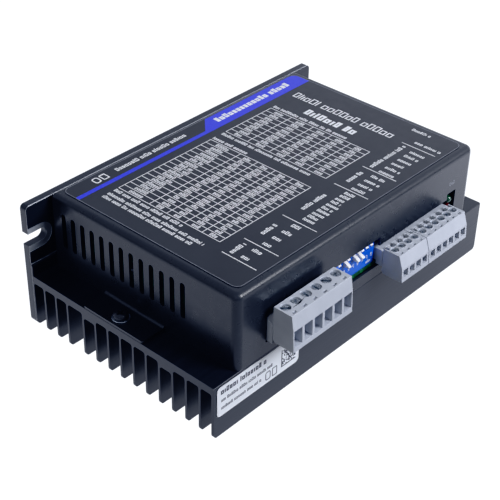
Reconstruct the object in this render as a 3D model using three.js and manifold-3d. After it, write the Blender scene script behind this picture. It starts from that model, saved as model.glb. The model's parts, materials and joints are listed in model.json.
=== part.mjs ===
// Stepper motor driver: a finned L-section heatsink, a folded cover over the circuit board,
// three pull-off screw terminal plugs, an eight-way DIP switch, two status lamps and a tuning port.
// Millimetres, +Z up. X runs along the row of plugs, the plugs face -Y, the wall flange is at +Y.
// Inside this file Y = 0 is the front face; the last lines centre the model over its footprint.

import * as THREE from "three";
import { mergeVertices } from "three/addons/utils/BufferGeometryUtils.js";
import Module from "manifold-3d";

const wasm = await Module();
wasm.setup();

// ---------------------------------------------------------------- driving dimensions
const LENGTH = 151;            // heatsink, along X
const DEPTH = 92;              // heatsink, front wall to wall flange
const PLATE_TOP = 21.8;        // top of the plate that carries the board
const PLATE_THICKNESS = 3;
const FLANGE_TOP = 50.7;
const FLANGE_FRONT = 88.7;     // front face of the upright flange
const CORNER_RADIUS = 2;       // sawn ends of the extrusion, seen from the front

const FRONT_WALL = 1.2;        // wall thicknesses of the comb under the plate
const BACK_WALL_FRONT = 88.2;
const FIN_THICKNESS = 0.95;
const FIN_PITCH = 6.22;
const FIN_START = 0.2;
const FRONT_FINS = 10;
const REAR_FIN_START = 70.6;
const REAR_FIN_PITCH = 6.05;
const REAR_FINS = 3;
const CHANNEL_FILLET = 0.9;
const TIP_RADIUS = 0.35;
const BOSS_THICKENING = 1.7;   // extra plate under the two rows of board screws
const BOSS_CHANNELS = [3, 9];  // channel number, counted from the front wall

const SLOT_WIDTH = 5;          // open wall-mounting slots, for M4
const SLOT_END = 8.2;          // from the flange's end to the slot's far side
const SLOT_HEIGHT = 36.8;      // slot centre line
const LAND_MARGIN = 2.35;      // milled land around each slot
const LAND_DEPTH = 0.25;

const COVER_LENGTH = 130;
const COVER_BACK = 87.3;
const COVER_TOP = 52.2;
const COVER_WALL = 1;
const COVER_CORNER = 3;        // upright edges
const COVER_EDGE = 2.5;        // top edges
const COVER_BACK_EDGE = 1.2;   // top edge at the wall flange
const SEAT = 0.02;             // air left between flat faces that rest on each other

// One window in the cover's front, of three heights: power plug and switch, signal plugs, lamps.
const WINDOW_BOTTOM = 26.4;
const WINDOWS = [
  { left: -51, right: 9.25, top: 38.15 },
  { left: 9.2, right: 50.3, top: 34.7 },
  { left: 50.25, right: 55.5, top: 37.2 },
];
const VENT = { count: 13, first: 24, pitch: 4.82, width: 2.1, bottom: 31.6, top: 45.8 };
const FOOT = { width: 29, centre: 47.3, thickness: 1, bend: 1.1, screw: 71.3 };

const BOARD = { left: -61, right: 61, front: 1.3, back: 83, bottom: 26.4, top: 28 };
const ON_BOARD = BOARD.top + 0.1;
const BOARD_SCREWS = [[-54, 3], [41, 3], [-54, 9], [54, 9]];   // X and boss channel

// Terminal blocks. Poles run along X; heights and depths are absolute.
const POWER = {
  poles: 6, pitch: 5.08, centre: -35.15, width: 30.5,
  header: { front: -2.2, back: 9.8, lip: 26.8, top: 36, chamfer: 1.6 },
  cavity: { side: 1.1, bottom: 28.9, top: 34.2, back: 6.5 },
  plug: { back: -2.35, topFront: -10, front: -11.3, bottom: 27.8, knee: 36.4, top: 42 },
  nose: { side: 1.35, bottom: 29.2, top: 33.9, back: 5.4 },
  entry: { width: 3.95, bottom: 29.7, top: 36.1, depth: 4.4 },
  throat: { width: 2.6, height: 3.6, depth: 6.4 },
  screw: { y: -5.1, hole: 1.95, head: 1.75, below: 0.45, headHeight: 1.3, shank: 1.1, depth: 4 },
  probe: { y: -8.85, width: 1.9, depth: 0.95, sink: 1.5 },
  contact: { width: 1.5, height: 1.5, z: 31.3 },
};
const SIGNAL_HEIGHTS = {
  pitch: 3.81,
  header: { front: -1.6, back: 7.7, lip: 26.6, top: 33.2, chamfer: 0.5 },
  cavity: { side: 0.9, bottom: 28.7, top: 32.4, back: 5 },
  plug: { back: -1.75, topFront: -8.75, front: -10.8, bottom: 23.7, knee: 29.2, top: 34.2 },
  nose: { side: 1.15, bottom: 28.95, top: 32.15, back: 4 },
  entry: { width: 2.7, bottom: 25.4, top: 28.5, depth: 3.3 },
  throat: { width: 1.9, height: 2.2, depth: 4.8 },
  screw: { y: -5, hole: 1.5, head: 1.32, below: 0.4, headHeight: 1.1, shank: 0.9, depth: 3.4 },
  probe: { y: -8.0, width: 1.5, depth: 0.85, sink: 1.2 },
  contact: { width: 1.2, height: 1.2, z: 30.5 },
  pocket: { width: 2.4, depth: 1.9, sink: 2.2, collar: 1.9, side: 0.5 },
};
const OUTPUT = { ...SIGNAL_HEIGHTS, poles: 4, centre: 17.2, width: 16.1 };
const SIGNAL = { ...SIGNAL_HEIGHTS, poles: 6, centre: 37.35, width: 23.8 };

const DIP = { left: -13.8, right: 7.7, front: 1.4, back: 7.6, bottom: ON_BOARD, top: 38.6 };
const DIP_LEVER = {
  count: 8, pitch: 2.54, first: -11.49, width: 1.5,
  tip: -1.15, tipTop: 35.6, bend: 1.5, back: 3.6, bottom: 34.9, top: 36.9, travel: 2.4, rise: 0.5,
};
const DIP_SLOT = { width: 1.8, bottom: 34.8, top: 37.5, back: 6.3 };
const DIP_OUT = [1, 3, 4];     // levers pulled out, counted from 0

const LAMP = { x: 53, radius: 1.5, tip: 0, upper: 33.4, lower: 29.95 };
const LAMP_BLOCK = { left: 50.7, right: 55.2, front: 2.2, back: 7.2, bottom: ON_BOARD, top: 35.9 };
const PORT = { left: 50, right: 63.8, front: 8.4, back: 20, bottom: ON_BOARD, top: 38.6, depth: 9 };
const PORT_MOUTH = { front: 9.4, back: 19, bottom: 30, top: 36.6 };

const ROUND = 20;              // sides of a round piece
const SMALL_ROUND = 12;

// ---------------------------------------------------------------- materials
const paint = (color, roughness, metalness) =>
  new THREE.MeshStandardMaterial({ color, roughness, metalness });
const anodised = paint(0x2b2e36, 0.5, 0.6);
const blackPaint = paint(0x24272f, 0.45, 0.1);
const overlayFilm = paint(0x3c4048, 0.6, 0);
const stickerFilm = paint(0xe6ebf5, 0.6, 0);
const greenBoard = paint(0x1f6b3c, 0.5, 0);
const greyPlastic = paint(0xbfc3cc, 0.5, 0);
const bluePlastic = paint(0x1565e0, 0.4, 0);
const whitePlastic = paint(0xf2f2f2, 0.5, 0);
const blackPlastic = paint(0x141518, 0.5, 0);
const steel = paint(0xb8bcc4, 0.35, 0.9);
const brass = paint(0xb99a55, 0.35, 0.9);
const greenLens = paint(0x1d8a55, 0.2, 0);
const redLens = paint(0xa02a22, 0.2, 0);
const capSleeve = paint(0x1a2a4a, 0.4, 0);
const copper = paint(0xb06a3a, 0.35, 0.8);
const greyPad = paint(0x8a8f98, 0.8, 0);

// ---------------------------------------------------------------- solids and booleans
function toSolid(geometry) {
  const plain = geometry.clone();
  plain.deleteAttribute("normal");
  plain.deleteAttribute("uv");
  const merged = mergeVertices(plain, 1e-4);
  return new wasm.Manifold(new wasm.Mesh({
    numProp: 3,
    vertProperties: new Float32Array(merged.attributes.position.array),
    triVerts: new Uint32Array(merged.index.array),
  }));
}

function toGeometry(solid) {
  const mesh = solid.getMesh();
  const geometry = new THREE.BufferGeometry();
  geometry.setAttribute("position", new THREE.BufferAttribute(mesh.vertProperties, 3));
  geometry.setIndex(new THREE.BufferAttribute(mesh.triVerts, 1));
  geometry.computeVertexNormals();
  return geometry;
}

const join = (...solids) => solids.reduce((whole, piece) => whole.add(piece));
const cut = (body, ...tools) => tools.reduce((whole, tool) => whole.subtract(tool), body);

function box(x0, x1, y0, y1, z0, z1) {
  const geometry = new THREE.BoxGeometry(x1 - x0, y1 - y0, z1 - z0);
  geometry.translate((x0 + x1) / 2, (y0 + y1) / 2, (z0 + z1) / 2);
  return toSolid(geometry);
}

function rodAlongZ(x, y, z0, z1, radius, sides = ROUND) {
  const geometry = new THREE.CylinderGeometry(radius, radius, z1 - z0, sides);
  geometry.rotateX(Math.PI / 2);
  geometry.translate(x, y, (z0 + z1) / 2);
  return toSolid(geometry);
}

// A solid of revolution about an upright axis; points are [radius, height], bottom to top.
function turned(x, y, points, sides = ROUND) {
  const outline = points.map(([radius, height]) => new THREE.Vector2(radius, height));
  const geometry = new THREE.LatheGeometry(outline, sides);
  geometry.rotateX(Math.PI / 2);
  geometry.translate(x, y, 0);
  return toSolid(geometry);
}

const extrude = (shape, depth, curveSegments) =>
  new THREE.ExtrudeGeometry(shape, { depth, bevelEnabled: false, curveSegments });

// The outline is drawn in Y and Z and runs along X.
function alongX(shape, x0, x1, curveSegments = 4) {
  const geometry = extrude(shape, x1 - x0, curveSegments);
  geometry.applyMatrix4(new THREE.Matrix4().makeBasis(
    new THREE.Vector3(0, 1, 0), new THREE.Vector3(0, 0, 1), new THREE.Vector3(1, 0, 0)));
  geometry.translate(x0, 0, 0);
  return toSolid(geometry);
}

// The outline is drawn in X and Z and runs along Y.
function alongY(shape, y0, y1, curveSegments = 4) {
  const geometry = extrude(shape, y1 - y0, curveSegments);
  geometry.applyMatrix4(new THREE.Matrix4().makeBasis(
    new THREE.Vector3(1, 0, 0), new THREE.Vector3(0, 0, 1), new THREE.Vector3(0, -1, 0)));
  geometry.translate(0, y1, 0);
  return toSolid(geometry);
}

// The outline is drawn in X and Y and runs along Z.
function alongZ(shape, z0, z1, curveSegments = 4) {
  const geometry = extrude(shape, z1 - z0, curveSegments);
  geometry.translate(0, 0, z0);
  return toSolid(geometry);
}

function roundedRectangle(left, right, bottom, top, radius) {
  const shape = new THREE.Shape();
  shape.absarc(right - radius, top - radius, radius, 0, Math.PI / 2);
  shape.absarc(left + radius, top - radius, radius, Math.PI / 2, Math.PI);
  shape.absarc(left + radius, bottom + radius, radius, Math.PI, Math.PI * 1.5);
  shape.absarc(right - radius, bottom + radius, radius, Math.PI * 1.5, Math.PI * 2);
  shape.closePath();
  return shape;
}

function polygon(points) {
  return new THREE.Shape(points.map(([a, b]) => new THREE.Vector2(a, b)));
}

// A block with rounded upright edges (corner) and rounded top and bottom edges (edge).
function softBlock(x0, x1, y0, y1, z0, z1, corner, edge) {
  const shape = roundedRectangle(x0 + edge, x1 - edge, y0 + edge, y1 - edge, corner - edge);
  const geometry = new THREE.ExtrudeGeometry(shape, {
    depth: z1 - z0 - 2 * edge, bevelEnabled: true, bevelThickness: edge, bevelSize: edge,
    bevelSegments: 5, curveSegments: 3,
  });
  geometry.translate(0, 0, z0 + edge);
  return toSolid(geometry);
}

const part = new THREE.Group();

function add(name, solid, material) {
  const mesh = new THREE.Mesh(toGeometry(solid), material);
  mesh.name = name;
  part.add(mesh);
}

// ---------------------------------------------------------------- heatsink
const finCentres = [];
for (let n = 1; n <= FRONT_FINS; n += 1) finCentres.push(FIN_START + n * FIN_PITCH);
for (let n = 0; n < REAR_FINS; n += 1) finCentres.push(REAR_FIN_START + n * REAR_FIN_PITCH);

// Channels between the fins as [front, back], numbered from the front wall.
const channels = [...finCentres, null].map((centre, n) => [
  n === 0 ? FRONT_WALL : finCentres[n - 1] + FIN_THICKNESS / 2,
  centre === null ? BACK_WALL_FRONT : centre - FIN_THICKNESS / 2,
]);
const bossRow = (channel) => (channels[channel][0] + channels[channel][1]) / 2;
const plateBottom = (channel) =>
  PLATE_TOP - PLATE_THICKNESS - (BOSS_CHANNELS.includes(channel) ? BOSS_THICKENING : 0);

function heatsinkProfile() {
  const chamfer = 0.4;
  const footFront = 88.2;
  const groove = { bottom: 26.1, deepest: 26.7, top: 27.3, depth: 0.35 };
  const topRadius = 0.5;
  const shape = new THREE.Shape();
  shape.moveTo(0, TIP_RADIUS);
  shape.absarc(TIP_RADIUS, TIP_RADIUS, TIP_RADIUS, Math.PI, Math.PI * 1.5);
  channels.forEach(([front, back], n) => {
    const top = plateBottom(n);
    shape.absarc(front - TIP_RADIUS, TIP_RADIUS, TIP_RADIUS, Math.PI * 1.5, Math.PI * 2);
    shape.absarc(front + CHANNEL_FILLET, top - CHANNEL_FILLET, CHANNEL_FILLET, Math.PI, Math.PI / 2, true);
    shape.absarc(back - CHANNEL_FILLET, top - CHANNEL_FILLET, CHANNEL_FILLET, Math.PI / 2, 0, true);
    shape.absarc(back + TIP_RADIUS, TIP_RADIUS, TIP_RADIUS, Math.PI, Math.PI * 1.5);
  });
  shape.absarc(DEPTH - TIP_RADIUS, TIP_RADIUS, TIP_RADIUS, Math.PI * 1.5, Math.PI * 2);
  shape.absarc(DEPTH - topRadius, FLANGE_TOP - topRadius, topRadius, 0, Math.PI / 2);
  shape.absarc(FLANGE_FRONT + topRadius, FLANGE_TOP - topRadius, topRadius, Math.PI / 2, Math.PI);
  shape.lineTo(FLANGE_FRONT, groove.top);
  shape.lineTo(FLANGE_FRONT + groove.depth, groove.deepest);
  shape.lineTo(footFront, groove.bottom);
  shape.lineTo(footFront, PLATE_TOP);
  shape.lineTo(chamfer, PLATE_TOP);
  shape.lineTo(0, PLATE_TOP - chamfer);
  shape.closePath();
  return shape;
}

// An open slot in the flange's end, drawn in X and Z; side is -1 at the left end and 1 at the right.
function slotOutline(side, margin) {
  const radius = SLOT_WIDTH / 2 + margin;
  const end = side * LENGTH / 2;
  const centre = end - side * (SLOT_END - SLOT_WIDTH / 2);
  const shape = new THREE.Shape();
  shape.moveTo(end + side, SLOT_HEIGHT - radius);
  shape.lineTo(centre, SLOT_HEIGHT - radius);
  shape.absarc(centre, SLOT_HEIGHT, radius, -Math.PI / 2, Math.PI / 2, side > 0);
  shape.lineTo(end + side, SLOT_HEIGHT + radius);
  shape.closePath();
  return shape;
}

function heatsink() {
  const bar = alongX(heatsinkProfile(), -LENGTH / 2, LENGTH / 2, 2);
  const ends = roundedRectangle(-LENGTH / 2, LENGTH / 2, 0, FLANGE_TOP, CORNER_RADIUS);
  let body = bar.intersect(alongY(ends, -1, DEPTH + 1, 3));
  for (const side of [-1, 1]) {
    const through = alongY(slotOutline(side, 0), FLANGE_FRONT - 1, DEPTH + 1, 8);
    const land = alongY(slotOutline(side, LAND_MARGIN), FLANGE_FRONT - 1, FLANGE_FRONT + LAND_DEPTH, 8);
    body = cut(body, through, land);
    body = cut(body, rodAlongZ(side * FOOT.screw, FOOT.centre, 0, PLATE_TOP + 1, 1.6, SMALL_ROUND));
  }
  for (const [x, channel] of BOARD_SCREWS) {
    body = cut(body, rodAlongZ(x, bossRow(channel), 0, PLATE_TOP + 1, 1.6, SMALL_ROUND));
  }
  return body;
}

// ---------------------------------------------------------------- cover, its feet and its screws
const coverHalf = COVER_LENGTH / 2;
const coverBase = PLATE_TOP + SEAT;

function coverFoot(side) {
  const inner = coverHalf - COVER_WALL / 2;
  const outer = LENGTH / 2 - 0.1;
  const foot = roundedRectangle(inner - 2, outer, FOOT.centre - FOOT.width / 2,
    FOOT.centre + FOOT.width / 2, 0.8);
  const clear = box(0, inner, 0, DEPTH, coverBase - 1, coverBase + FOOT.thickness + 1);
  const hole = rodAlongZ(FOOT.screw, FOOT.centre, coverBase - 1, coverBase + 2, 1.7, SMALL_ROUND);
  const top = coverBase + FOOT.thickness;
  const bend = new THREE.Shape();
  bend.moveTo(inner, top - 0.1);
  bend.lineTo(coverHalf + FOOT.bend, top - 0.1);
  bend.absarc(coverHalf + FOOT.bend, top + FOOT.bend, FOOT.bend, -Math.PI / 2, -Math.PI, true);
  bend.lineTo(inner, top + FOOT.bend);
  bend.closePath();
  const sheet = join(alongZ(foot, coverBase, top),
    alongY(bend, FOOT.centre - FOOT.width / 2, FOOT.centre + FOOT.width / 2, 4));
  const right = cut(sheet, clear, hole);
  return side > 0 ? right : right.rotate([0, 0, 180]).translate([0, 2 * FOOT.centre, 0]);
}

function vent(side, n) {
  const centre = VENT.first + n * VENT.pitch;
  const outline = roundedRectangle(centre - VENT.width / 2, centre + VENT.width / 2,
    VENT.bottom, VENT.top, VENT.width / 2 - 0.01);
  const x = side * coverHalf;
  return alongX(outline, x - 2, x + 2, 2);
}

function cover() {
  const below = coverBase - 8;
  const spare = 6;
  const rounded = softBlock(-coverHalf, coverHalf, 0, COVER_BACK + spare, below, COVER_TOP,
    COVER_CORNER, COVER_EDGE);
  const back = softBlock(-coverHalf - spare, coverHalf + spare, -spare, COVER_BACK, below, COVER_TOP,
    COVER_BACK_EDGE + 0.5, COVER_BACK_EDGE);
  const outer = rounded.intersect(back);
  const inner = softBlock(-coverHalf + COVER_WALL, coverHalf - COVER_WALL, COVER_WALL,
    COVER_BACK - COVER_WALL, below - 2, COVER_TOP - COVER_WALL,
    COVER_CORNER - COVER_WALL, COVER_EDGE - COVER_WALL);
  let shell = cut(outer, inner, box(-LENGTH, LENGTH, -1, DEPTH, below - 3, coverBase));
  shell = join(shell, coverFoot(-1), coverFoot(1));
  const windows = WINDOWS.map((w) => box(w.left, w.right, -1, COVER_WALL + 0.8, WINDOW_BOTTOM, w.top));
  shell = cut(shell, join(...windows));
  for (const side of [-1, 1]) {
    for (let n = 0; n < VENT.count; n += 1) shell = cut(shell, vent(side, n));
  }
  const port = roundedRectangle(PORT_MOUTH.front - 0.5, PORT_MOUTH.back + 0.5,
    PORT_MOUTH.bottom - 0.5, PORT_MOUTH.top + 0.5, 0.8);
  return cut(shell, alongX(port, coverHalf - 2, coverHalf + 2, 2));
}

// A pan-head machine screw standing on the height given as seat.
function panScrew(x, y, seat, tip, sides) {
  const head = 2.7;
  const height = 1.9;
  const shank = 1.45;
  return turned(x, y, [
    [0, tip], [shank, tip], [shank, seat], [head, seat], [head, seat + 0.6 * height],
    [0.8 * head, seat + 0.92 * height], [0.45 * head, seat + height], [0, seat + height],
  ], sides);
}

// The cross recess in a pan head whose top is at the height given.
function crossRecess(x, y, top) {
  const arm = 1.5;
  const half = 0.35;
  const depth = 0.9;
  return join(
    box(x - arm, x + arm, y - half, y + half, top - depth, top + 1),
    box(x - half, x + half, y - arm, y + arm, top - depth, top + 1));
}

function coverScrew(side) {
  const seat = coverBase + FOOT.thickness + 0.5 + 2 * SEAT;
  const tip = PLATE_TOP - PLATE_THICKNESS + 0.2;
  const x = side * FOOT.screw;
  const body = panScrew(x, FOOT.centre, seat, tip, ROUND);
  return cut(body, crossRecess(x, FOOT.centre, seat + 1.9));
}

function washer(x, y, bottom) {
  const top = bottom + 0.5;
  return cut(rodAlongZ(x, y, bottom, top, 3.3, ROUND),
    rodAlongZ(x, y, bottom - 1, top + 1, 1.65, SMALL_ROUND));
}

// ---------------------------------------------------------------- terminal blocks
const poleX = (block, n) => block.centre + (n - (block.poles - 1) / 2) * block.pitch;
const poles = (block) => Array.from({ length: block.poles }, (_, n) => poleX(block, n));

function header(block) {
  const { header: h, cavity: c } = block;
  const left = block.centre - block.width / 2;
  const right = block.centre + block.width / 2;
  const lipBack = BOARD.front - 0.1;
  const profile = polygon([
    [h.front, h.lip], [lipBack, h.lip], [lipBack, ON_BOARD], [h.back, ON_BOARD], [h.back, h.top],
    [h.front + 1.7 * h.chamfer, h.top], [h.front, h.top - h.chamfer],
  ]);
  return cut(alongX(profile, left, right),
    box(left + c.side, right - c.side, h.front - 1, c.back, c.bottom, c.top));
}

function plug(block) {
  const { plug: p, nose, entry, throat, screw, probe, contact } = block;
  const left = block.centre - block.width / 2 + 0.05;
  const right = block.centre + block.width / 2 - 0.05;
  const bevel = 0.8;
  const profile = polygon([
    [p.back, p.bottom + bevel], [p.back, p.top], [p.topFront, p.top], [p.front + 0.4, p.knee],
    [p.front, p.bottom], [p.back - bevel, p.bottom],
  ]);
  let body = join(alongX(profile, left, right),
    box(left + nose.side, right - nose.side, p.back - 1, nose.back, nose.bottom, nose.top));
  for (const x of poles(block)) {
    const middle = (entry.bottom + entry.top) / 2;
    const across = (width) => [x - width / 2, x + width / 2];
    body = cut(body,
      box(...across(entry.width), p.front - 1, p.front + entry.depth, entry.bottom, entry.top),
      box(...across(throat.width), p.front, p.front + throat.depth,
        middle - throat.height / 2, middle + throat.height / 2),
      rodAlongZ(x, screw.y, p.top - screw.depth, p.top + 1, screw.hole, SMALL_ROUND),
      box(...across(probe.width), probe.y - probe.depth / 2, probe.y + probe.depth / 2,
        p.top - probe.sink, p.top + 1),
      box(...across(contact.width), p.back + 0.8, nose.back + 1,
        contact.z - contact.height / 2, contact.z + contact.height / 2));
  }
  return block.pocket ? cut(body, ...pockets(block, left, right)) : body;
}

// Pockets along a plug's back top edge, between the round collars that hold the screws.
function pockets(block, left, right) {
  const { plug: p, pocket, screw } = block;
  const bottom = p.top - pocket.sink;
  const collars = poles(block).map((x) => rodAlongZ(x, screw.y, bottom - 1, p.top + 2, pocket.collar, ROUND));
  return Array.from({ length: block.poles + 1 }, (_, n) => {
    const middle = block.centre + (n - block.poles / 2) * block.pitch;
    const from = Math.max(middle - pocket.width / 2, left + pocket.side);
    const to = Math.min(middle + pocket.width / 2, right - pocket.side);
    return cut(box(from, to, p.back - pocket.depth, p.back + 1, bottom, p.top + 1), ...collars);
  });
}

function terminalScrew(block, x) {
  const { plug: p, screw } = block;
  const top = p.top - screw.below;
  const bottom = p.top - screw.depth + 0.2;
  const slot = 0.6;
  const body = turned(x, screw.y, [
    [0, bottom], [screw.shank, bottom], [screw.shank, top - screw.headHeight],
    [screw.head, top - screw.headHeight], [screw.head, top], [0, top],
  ], SMALL_ROUND);
  return cut(body, box(x - screw.head, x + screw.head, screw.y - slot / 2, screw.y + slot / 2,
    top - 0.6, top + 1));
}

function addTerminalBlock(name, block) {
  add(`${name}_header`, header(block), greyPlastic);
  add(`${name}_plug`, plug(block), greyPlastic);
  poles(block).forEach((x, n) => add(`${name}_screw_${n + 1}`, terminalScrew(block, x), steel));
}

// ---------------------------------------------------------------- DIP switch
const dipLeverX = (n) => DIP_LEVER.first + n * DIP_LEVER.pitch;

function dipBody() {
  let body = box(DIP.left, DIP.right, DIP.front, DIP.back, DIP.bottom, DIP.top);
  for (let n = 0; n < DIP_LEVER.count; n += 1) {
    const x = dipLeverX(n);
    body = cut(body, box(x - DIP_SLOT.width / 2, x + DIP_SLOT.width / 2, DIP.front - 1, DIP_SLOT.back,
      DIP_SLOT.bottom, DIP_SLOT.top));
  }
  return body;
}

// A wedge-ended lever, drawn pulled out; a pushed one sits further in and a little higher.
function dipLever(n) {
  const { tip, tipTop, bend, back, bottom, top, width, travel, rise } = DIP_LEVER;
  const edge = 0.15;
  const profile = polygon([
    [back, bottom], [back, top], [bend, top], [tip + edge, tipTop], [tip, tipTop - edge],
    [tip, bottom + edge], [tip + edge, bottom],
  ]);
  const lever = alongX(profile, dipLeverX(n) - width / 2, dipLeverX(n) + width / 2);
  return DIP_OUT.includes(n) ? lever : lever.translate([0, travel, rise]);
}

// ---------------------------------------------------------------- lamps and port
function lampBlock() {
  let body = box(LAMP_BLOCK.left, LAMP_BLOCK.right, LAMP_BLOCK.front, LAMP_BLOCK.back,
    LAMP_BLOCK.bottom, LAMP_BLOCK.top);
  for (const z of [LAMP.lower, LAMP.upper]) {
    const bore = new THREE.CylinderGeometry(LAMP.radius + 0.15, LAMP.radius + 0.15, 6, SMALL_ROUND);
    bore.translate(LAMP.x, LAMP_BLOCK.front + 0.5, z);
    body = cut(body, toSolid(bore));
  }
  return body;
}

function lamp(z) {
  const dome = 4;
  const back = LAMP_BLOCK.front + 3.4;
  const points = [new THREE.Vector2(0, back), new THREE.Vector2(LAMP.radius, back)];
  for (let n = 0; n < dome; n += 1) {
    const angle = (n / dome) * Math.PI / 2;
    points.push(new THREE.Vector2(LAMP.radius * Math.cos(angle),
      LAMP.tip + LAMP.radius * (1 - Math.sin(angle))));
  }
  points.push(new THREE.Vector2(0, LAMP.tip));
  const geometry = new THREE.LatheGeometry(points.reverse(), SMALL_ROUND);
  geometry.translate(LAMP.x, 0, z);
  return toSolid(geometry);
}

function port() {
  const shell = box(PORT.left, PORT.right, PORT.front, PORT.back, PORT.bottom, PORT.top);
  const m = PORT_MOUTH;
  const key = box(PORT.right - PORT.depth, PORT.right + 1, (m.front + m.back) / 2 - 1.6,
    (m.front + m.back) / 2 + 1.6, m.bottom - 1.4, m.bottom + 1);
  return cut(shell, key, box(PORT.right - PORT.depth, PORT.right + 1, m.front, m.back, m.bottom, m.top));
}

// ---------------------------------------------------------------- board and what stands on it
function board() {
  let body = box(BOARD.left, BOARD.right, BOARD.front, BOARD.back, BOARD.bottom, BOARD.top);
  for (const [x, channel] of BOARD_SCREWS) {
    body = cut(body, rodAlongZ(x, bossRow(channel), BOARD.bottom - 1, BOARD.top + 1, 1.7, SMALL_ROUND));
  }
  return body;
}

function standoff(x, y) {
  const bottom = PLATE_TOP + SEAT;
  const top = BOARD.bottom - SEAT;
  return cut(rodAlongZ(x, y, bottom, top, 3.1, 6), rodAlongZ(x, y, bottom - 1, top + 1, 1.65, SMALL_ROUND));
}

function capacitor(x, y) {
  const radius = 9;
  const height = 21.5;
  const points = [
    [0, 0], [radius, 0], [radius, height - 0.6], [radius - 0.6, height], [0, height],
  ];
  return turned(x, y, points.map(([r, z]) => [r, ON_BOARD + z]), ROUND);
}

function choke(x, y) {
  const ring = new THREE.TorusGeometry(6.4, 3.2, 6, 14);
  ring.translate(x, y, ON_BOARD + 3.2);
  return toSolid(ring);
}

// ---------------------------------------------------------------- assembly
add("heatsink_base", heatsink(), anodised);
add("cover", cover(), blackPaint);
for (const [name, side] of [["left", -1], ["right", 1]]) {
  const footTop = coverBase + FOOT.thickness;
  add(`cover_washer_${name}`, washer(side * FOOT.screw, FOOT.centre, footTop + SEAT), steel);
  add(`cover_screw_${name}`, coverScrew(side), blackPaint);
}

const overlayOutline = roundedRectangle(-61.7, 61.7, 3, 86, 3);
add("top_overlay", alongZ(overlayOutline, COVER_TOP + SEAT, COVER_TOP + 0.2, 4), overlayFilm);
const stickerOutline = roundedRectangle(-74.2, -33.7, 8.6, 20.9, 1.5);
add("rating_sticker", alongY(stickerOutline, -0.17, -SEAT, 4), stickerFilm);

add("main_board", board(), greenBoard);
BOARD_SCREWS.forEach(([x, channel], n) => {
  const y = bossRow(channel);
  add(`board_standoff_${n + 1}`, standoff(x, y), brass);
  add(`board_screw_${n + 1}`, panScrew(x, y, BOARD.top + SEAT, PLATE_TOP - 4.2, SMALL_ROUND), steel);
});

addTerminalBlock("power", POWER);
addTerminalBlock("output", OUTPUT);
addTerminalBlock("signal", SIGNAL);

add("dip_body", dipBody(), bluePlastic);
for (let n = 0; n < DIP_LEVER.count; n += 1) add(`dip_slider_${n + 1}`, dipLever(n), whitePlastic);

add("lamp_block", lampBlock(), blackPlastic);
add("lamp_power", lamp(LAMP.upper), greenLens);
add("lamp_alarm", lamp(LAMP.lower), redLens);
add("tuning_port", port(), blackPlastic);

add("bulk_capacitor_1", capacitor(-44, 40), capSleeve);
add("bulk_capacitor_2", capacitor(-22, 40), capSleeve);
add("bridge_rectifier", box(-57, -35, 67, 71.5, ON_BOARD, ON_BOARD + 15), blackPlastic);
add("flyback_transformer", alongZ(roundedRectangle(0, 22, 44, 66, 3), ON_BOARD, ON_BOARD + 18, 3), copper);
add("choke", choke(38, 56), copper);
add("control_chip", box(10, 24, 20, 34, ON_BOARD, ON_BOARD + 1.4), blackPlastic);
add("power_module", box(-24, 16, 36, 56, PLATE_TOP + 0.7, BOARD.bottom - 0.1), blackPlastic);
add("thermal_pad", box(-25, 17, 35, 57, PLATE_TOP + SEAT, PLATE_TOP + 0.68), greyPad);

// The origin is the middle of the footprint, at the height of the fin tips.
part.position.y = -(DEPTH + POWER.plug.front) / 2;

export default part;
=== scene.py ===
"""Finish of the stepper driver module: materials, printed graphics, terminal hardware, light and camera."""

import json
import math
import random

import bmesh
import bpy
from mathutils import Matrix, Vector

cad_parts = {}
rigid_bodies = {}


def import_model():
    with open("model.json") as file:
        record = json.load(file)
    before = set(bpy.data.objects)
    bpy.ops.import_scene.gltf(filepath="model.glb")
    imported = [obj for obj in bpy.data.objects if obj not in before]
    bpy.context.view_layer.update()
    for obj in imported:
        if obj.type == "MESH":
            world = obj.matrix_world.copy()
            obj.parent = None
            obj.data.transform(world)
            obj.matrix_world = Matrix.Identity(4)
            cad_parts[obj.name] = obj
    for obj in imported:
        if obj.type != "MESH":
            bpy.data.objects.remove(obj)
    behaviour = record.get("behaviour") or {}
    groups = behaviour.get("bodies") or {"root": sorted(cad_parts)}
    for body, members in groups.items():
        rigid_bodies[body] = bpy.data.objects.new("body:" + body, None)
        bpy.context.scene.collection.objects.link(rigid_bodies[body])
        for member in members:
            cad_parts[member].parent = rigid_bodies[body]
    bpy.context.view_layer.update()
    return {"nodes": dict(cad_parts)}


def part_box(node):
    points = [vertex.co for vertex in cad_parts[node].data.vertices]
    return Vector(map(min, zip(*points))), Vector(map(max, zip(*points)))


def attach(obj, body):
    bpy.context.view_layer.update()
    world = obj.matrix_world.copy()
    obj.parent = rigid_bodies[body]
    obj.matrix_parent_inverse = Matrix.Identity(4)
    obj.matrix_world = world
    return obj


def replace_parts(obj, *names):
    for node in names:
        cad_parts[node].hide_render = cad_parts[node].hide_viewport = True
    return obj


for leftover in list(bpy.data.objects):
    bpy.data.objects.remove(leftover)
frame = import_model()

MM = 0.001
NODES = frame["nodes"]


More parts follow.
